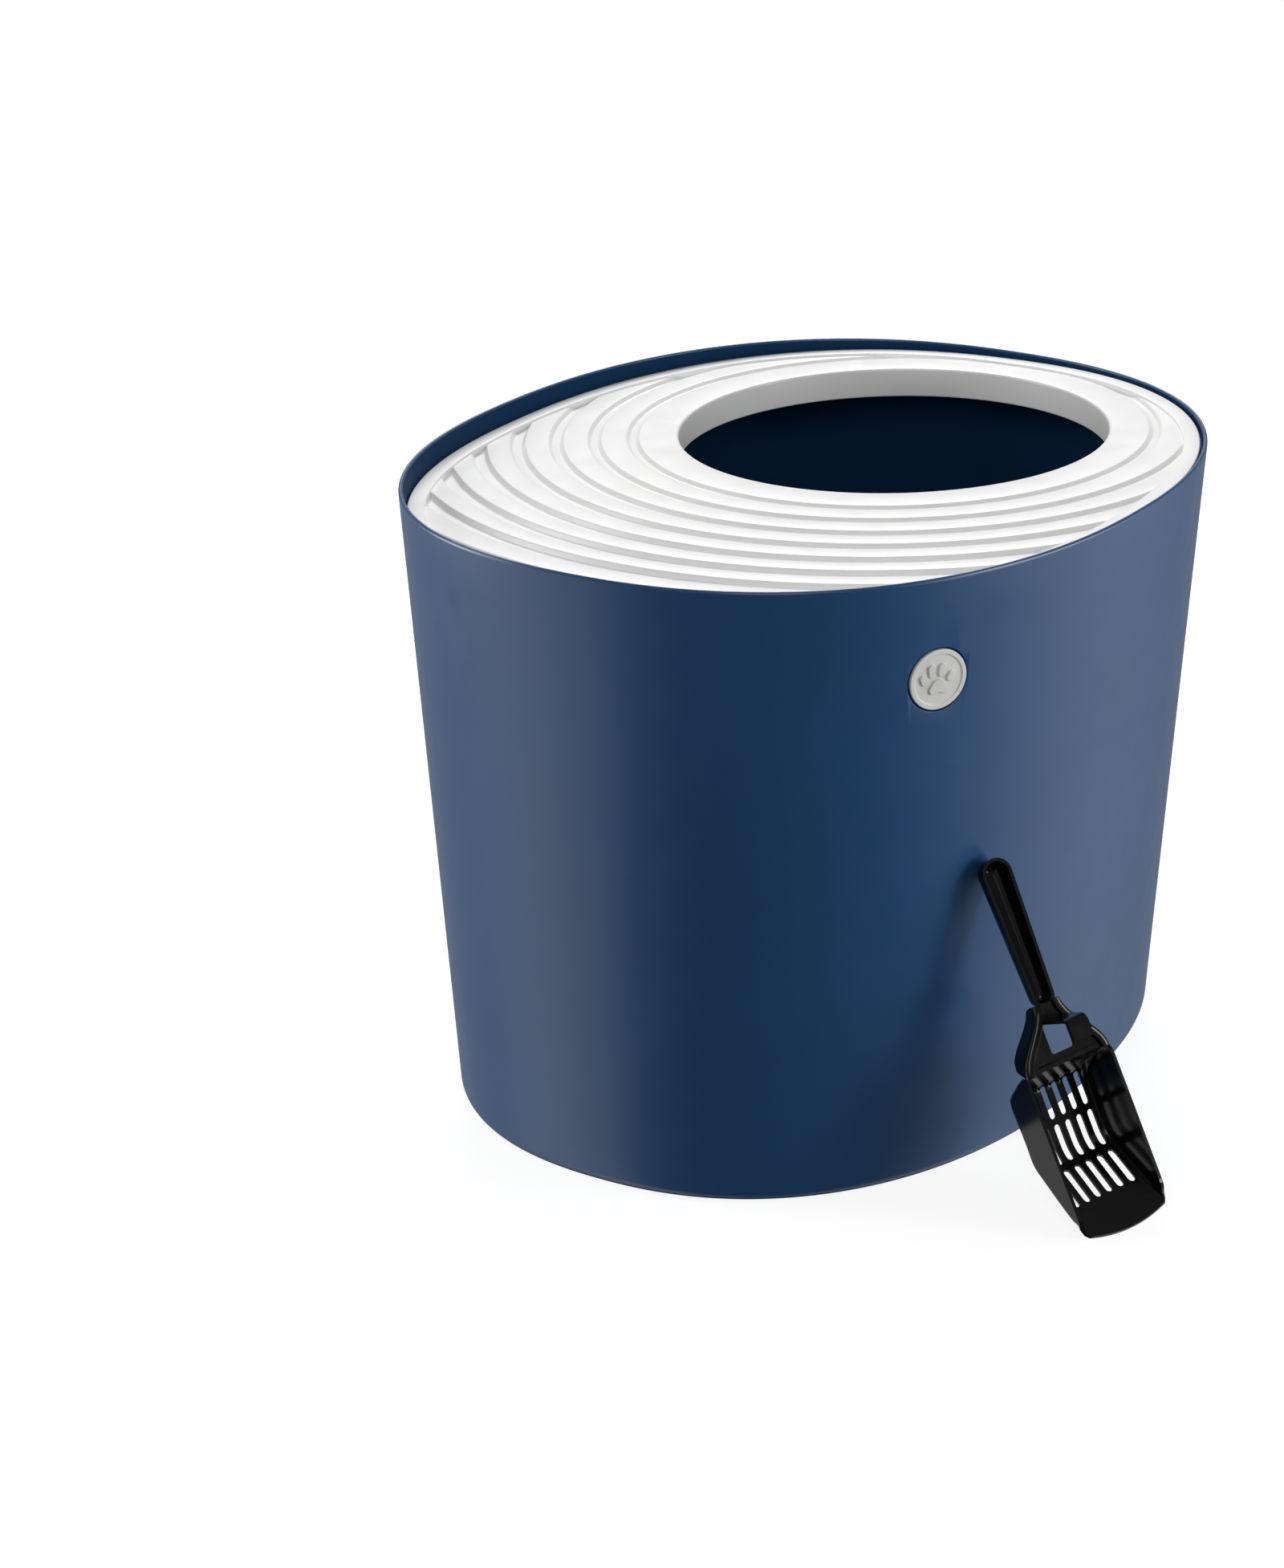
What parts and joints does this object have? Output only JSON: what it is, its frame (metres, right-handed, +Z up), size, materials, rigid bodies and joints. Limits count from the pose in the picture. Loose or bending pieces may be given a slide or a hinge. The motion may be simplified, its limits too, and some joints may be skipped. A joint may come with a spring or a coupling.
{
  "type": "top entry litter box",
  "caption": "Oval top entry litter box with a grooved lid, a round entry hole, a wall badge and a slotted scoop leaning on it.",
  "frame": {"origin": "centre of the bucket's foot, on the floor", "axes": "+Z up, +X towards the end with the entry hole, -Y towards the side with the badge and the scoop"},
  "size_m": [0.5192, 0.517, 0.37],
  "materials": {
    "navy_plastic": "semi-gloss moulded",
    "white_plastic": "satin moulded",
    "grey_plastic": "matte moulded",
    "black_plastic": "glossy moulded"
  },
  "bodies": {
    "bucket": {"bucket": "navy_plastic", "badge": "grey_plastic"},
    "lid": {"lid": "white_plastic"},
    "scoop": {"scoop": "black_plastic"}
  },
  "joints": [
    {"name": "lid_lift", "type": "slide", "parent": "bucket", "child": "lid", "axis": [0, 0, 1], "range_m": [0, 0.2]},
    {"name": "scoop_lift", "type": "slide", "parent": "bucket", "child": "scoop", "axis": [-0.509, -0.7517, 0.4194], "range_m": [0, 0.3]}
  ]
}
